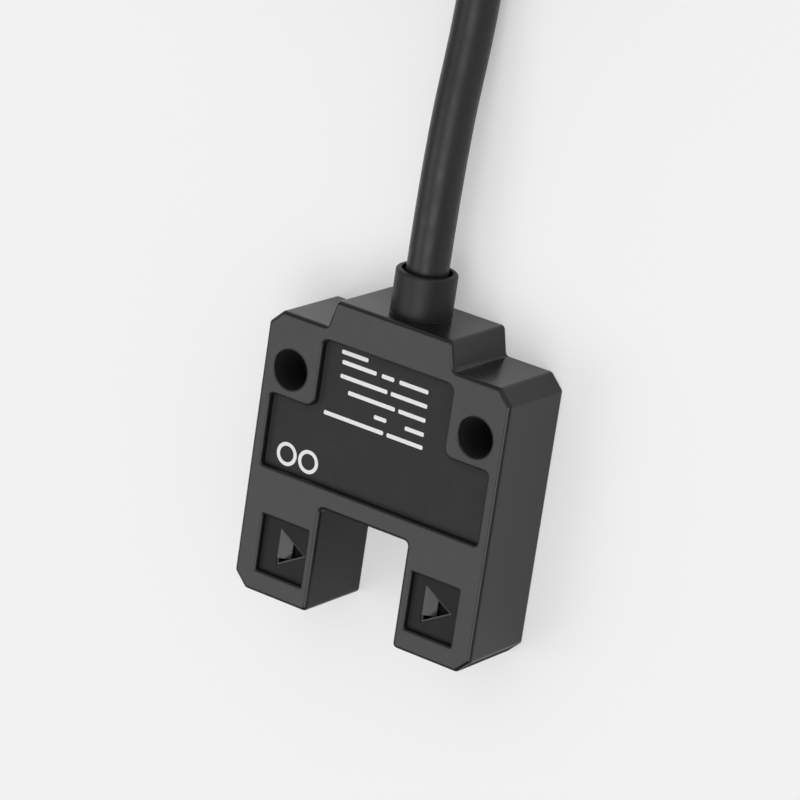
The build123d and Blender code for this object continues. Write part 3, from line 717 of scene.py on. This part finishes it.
class FORKSENSOR_OT_label_print(bpy.types.Operator):
    """Prints plain bars and rings on the label"""

    bl_idname = "forksensor.label_print"
    bl_label = "Print the label"

    # Each bar: its middle along Y and its two ends along X, in millimetres
    bars = (
        (2.1, 0.55, 4.62), (2.1, -6.65, 0.15),
        (3.35, 2.4, 4.55), (3.35, -1.1, 0.3),
        (4.7, 1.45, 4.5), (4.7, -4.3, 1.05),
        (6.05, 0.35, 4.45), (6.05, -5.4, -0.05),
        (7.4, 1.1, 4.35), (7.4, -0.9, 0.5), (7.4, -5.4, -1.5),
        (8.35, -5.6, -2.6),
    )

    # Middles of the two rings, in millimetres
    rings = ((-10.1, -3.2), (-7.6, -3.2))

    # Underside of the ink, a hair above the label's floor
    ink_bottom = 7.853 * mm

    def add_bar(self, settings, middle, left, right, height):
        """A plain bar with rounded corners."""
        size = ((right - left) * mm, settings.bar_height, settings.thickness)
        bar = add_box("bar", size, ((left + right) / 2 * mm, middle * mm, height))
        select_edges(bar, lambda first, second: abs(first.z - second.z) > settings.thickness / 2)
        bpy.ops.mesh.bevel(offset=settings.bar_height * 0.3, segments=4, affect="EDGES")
        bpy.ops.object.mode_set(mode="OBJECT")
        return bar

    def add_ring(self, settings, x, y, height):
        """A plain ring: a disc, inset, opened and given its thickness."""
        deselect_all()
        bpy.ops.mesh.primitive_circle_add(
            vertices=48,
            radius=settings.ring / 2,
            fill_type="NGON",
            location=(x * mm, y * mm, height - settings.thickness / 2),
        )
        ring = bpy.context.object
        bpy.ops.object.mode_set(mode="EDIT")
        bpy.ops.mesh.select_mode(type="FACE")
        bpy.ops.mesh.select_all(action="SELECT")
        bpy.ops.mesh.inset(thickness=settings.stroke)
        bpy.ops.mesh.delete(type="FACE")
        bpy.ops.mesh.select_all(action="SELECT")
        bpy.ops.mesh.extrude_region_move(TRANSFORM_OT_translate={"value": (0.0, 0.0, settings.thickness)})
        bpy.ops.mesh.select_all(action="SELECT")
        bpy.ops.mesh.normals_make_consistent(inside=False)
        bpy.ops.object.mode_set(mode="OBJECT")
        return ring

    def execute(self, context):
        settings = context.scene.forksensor_print
        height = self.ink_bottom + settings.thickness / 2
        made = [self.add_bar(settings, *bar, height) for bar in self.bars]
        made += [self.add_ring(settings, *place, height) for place in self.rings]
        deselect_all()
        for piece in made:
            piece.select_set(True)
        context.view_layer.objects.active = made[0]
        bpy.ops.object.join()
        printed = context.object
        printed.name = "label_print"
        bpy.ops.object.transform_apply(location=True, rotation=True, scale=True)
        ink = plain_moulding(
            "label_ink", settings.colour, 0.5, grain=0.08 * mm, depth=0.001 * mm, variation=0.04
        )
        paint(printed, ink)
        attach(printed, body)
        return {"FINISHED"}


# Parts inside


class FORKSENSOR_OT_inside(bpy.types.Operator):
    """Finishes the board, the optics, the seal and the parts inside the housing"""

    bl_idname = "forksensor.inside"
    bl_label = "Finish the parts inside"

    # Slot, colour, roughness and size of the grain in millimetres
    mouldings = (
        ("holder_plastic", (0.03, 0.03, 0.03), 0.55, 0.08),
        ("chip_moulding", (0.035, 0.035, 0.038), 0.6, 0.05),
        ("capacitor_resin", (0.68, 0.42, 0.08), 0.5, 0.06),
        ("seal_rubber", (0.025, 0.025, 0.025), 0.7, 0.1),
    )

    def execute(self, context):
        settings = context.scene.forksensor_inside
        dress("board_laminate", board_laminate(settings))
        dress("emitter_resin", lens_resin("emitter_resin", (0.3, 0.36, 0.52)))
        dress("receiver_resin", lens_resin("receiver_resin", (0.03, 0.03, 0.045)))
        dress("tinned_metal", metal("tinned_metal", settings.tin, 0.3, stretch=(1.0, 0.2, 1.0)))
        dress("ferrule_brass", metal("ferrule_brass", settings.brass, 0.32, stretch=(1.0, 0.1, 1.0)))
        dress("solder", metal("solder", tint(settings.tin, 0.9), 0.24))
        for slot, colour, roughness, grain in self.mouldings:
            dress(slot, plain_moulding(slot, colour, roughness, grain=grain * mm))
        dress("resistor_ceramic", ceramic("resistor_ceramic", (0.045, 0.045, 0.055)))
        dress("capacitor_ceramic", ceramic("capacitor_ceramic", (0.4, 0.29, 0.19)))
        return {"FINISHED"}


# Stage


# Brightness of the horizon, and of the backdrop that lightens the floor's shadow
backdrop_grey = 0.88


def floor_paper(settings):
    """Pale paper, which the camera, gloss and glass see partly as a backdrop with no shadow on it."""
    made = Finish("floor_paper")
    made.shader.inputs["Specular IOR Level"].default_value = 0.0
    made.shader.inputs["Roughness"].default_value = 0.9
    made.colour(made.shades(made.noise(0.4), settings.floor_colour, 0.995, 1.005))
    rays = made.node("ShaderNodeLightPath")
    seen = made.either(
        rays.outputs["Is Glossy Ray"], rays.outputs["Is Transmission Ray"], rays.outputs["Is Camera Ray"]
    )
    backdrop = made.node("ShaderNodeEmission")
    backdrop.inputs["Color"].default_value = (backdrop_grey, backdrop_grey, backdrop_grey, 1.0)
    blend = made.node("ShaderNodeMixShader")
    made.join(made.calculate("MULTIPLY", seen, settings.backdrop), blend.inputs[0])
    made.join(made.shader.outputs["BSDF"], blend.inputs[1])
    made.join(backdrop.outputs["Emission"], blend.inputs[2])
    made.join(blend.outputs["Shader"], made.tree.nodes["Material Output"].inputs["Surface"])
    return made.material


def studio(settings):
    """Softboxes high on the left and overhead, a fill behind, a dark card low in front, a pale horizon."""
    world = bpy.data.worlds.new("studio")
    world.use_nodes = True
    tree = world.node_tree
    place = tree.nodes.new("ShaderNodeTexCoord")

    def glow(toward, outer, inner, low, high):
        """High inside the inner cosine round that direction, low outside the outer one."""
        facing = tree.nodes.new("ShaderNodeVectorMath")
        facing.operation = "DOT_PRODUCT"
        facing.inputs[1].default_value = Vector(toward).normalized()
        tree.links.new(place.outputs["Generated"], facing.inputs[0])
        ranged = tree.nodes.new("ShaderNodeMapRange")
        ranged.interpolation_type = "SMOOTHSTEP"
        ranged.inputs["From Min"].default_value = outer
        ranged.inputs["From Max"].default_value = inner
        ranged.inputs["To Min"].default_value = low
        ranged.inputs["To Max"].default_value = high
        tree.links.new(facing.outputs["Value"], ranged.inputs["Value"])
        return ranged.outputs["Result"]

    light = glow((0.0, 1.0, 0.0), -0.85, -0.2, 0.04 * settings.sky, settings.sky)
    for lamp in (
        glow((-0.52, -0.31, 0.8), 0.92, 0.985, 0.0, settings.softbox),
        glow((0.28, -0.26, 0.92), 0.9, 0.985, 0.0, settings.overhead),
        glow((0.5, 0.6, 0.6), 0.2, 0.85, 0.0, settings.fill),
    ):
        light = math_node(tree, "ADD", light, lamp)
    up = (0.0, 0.0, 1.0)
    light = math_node(tree, "MULTIPLY", light, glow(up, 0.08, 0.16, 0.0, 1.0))
    light = math_node(tree, "ADD", light, glow(up, 0.08, 0.16, backdrop_grey, 0.0))
    sky = tree.nodes["Background"]
    sky.inputs["Color"].default_value = (1.0, 1.0, 1.0, 1.0)
    tree.links.new(light, sky.inputs["Strength"])
    return world


class FORKSENSOR_OT_stage(bpy.types.Operator):
    """Lays the floor and lights the stage"""

    bl_idname = "forksensor.stage"
    bl_label = "Set the stage"

    def execute(self, context):
        settings = context.scene.forksensor_stage
        deselect_all()
        bpy.ops.mesh.primitive_plane_add(size=60.0, location=(0.0, 0.0, 0.0))
        floor = context.object
        floor.name = "floor"
        paint(floor, floor_paper(settings))
        context.scene.world = studio(settings)
        context.scene.view_settings.view_transform = "Standard"
        return {"FINISHED"}


class FORKSENSOR_PT_panel(bpy.types.Panel):
    """Lists the sizes, colours and steps of the fork sensor"""

    bl_idname = "FORKSENSOR_PT_panel"
    bl_label = "Fork sensor"
    bl_space_type = "VIEW_3D"
    bl_region_type = "UI"
    bl_category = "Fork sensor"

    def draw(self, context):
        for operator, group in steps:
            box = self.layout.box()
            box.operator(operator.bl_idname)
            settings = getattr(context.scene, group)
            for name in type(settings).__annotations__:
                box.prop(settings, name)


groups = {
    "forksensor_stage": StageSettings,
    "forksensor_ties": TieSettings,
    "forksensor_lead": LeadSettings,
    "forksensor_lead_end": LeadEndSettings,
    "forksensor_moulding": MouldingSettings,
    "forksensor_print": PrintSettings,
    "forksensor_inside": InsideSettings,
}
steps = (
    (FORKSENSOR_OT_camera, "forksensor_stage"),
    (FORKSENSOR_OT_ties, "forksensor_ties"),
    (FORKSENSOR_OT_lead, "forksensor_lead"),
    (FORKSENSOR_OT_moulding, "forksensor_moulding"),
    (FORKSENSOR_OT_label_print, "forksensor_print"),
    (FORKSENSOR_OT_lead_end, "forksensor_lead_end"),
    (FORKSENSOR_OT_inside, "forksensor_inside"),
    (FORKSENSOR_OT_stage, "forksensor_stage"),
)


def register():
    for name, group in groups.items():
        bpy.utils.register_class(group)
        setattr(bpy.types.Scene, name, bpy.props.PointerProperty(type=group))
    for operator, group in steps:
        bpy.utils.register_class(operator)
    bpy.utils.register_class(FORKSENSOR_PT_panel)


def unregister():
    bpy.utils.unregister_class(FORKSENSOR_PT_panel)
    for operator, group in reversed(steps):
        bpy.utils.unregister_class(operator)
    for name, group in groups.items():
        delattr(bpy.types.Scene, name)
        bpy.utils.unregister_class(group)


def main():
    register()
    bpy.ops.forksensor.camera()
    bpy.ops.forksensor.ties()
    bpy.ops.forksensor.lead()
    bpy.ops.forksensor.moulding()
    bpy.ops.forksensor.label_print()
    bpy.ops.forksensor.lead_end()
    bpy.ops.forksensor.inside()
    bpy.ops.forksensor.stage()


if __name__ == "__main__":
    main()
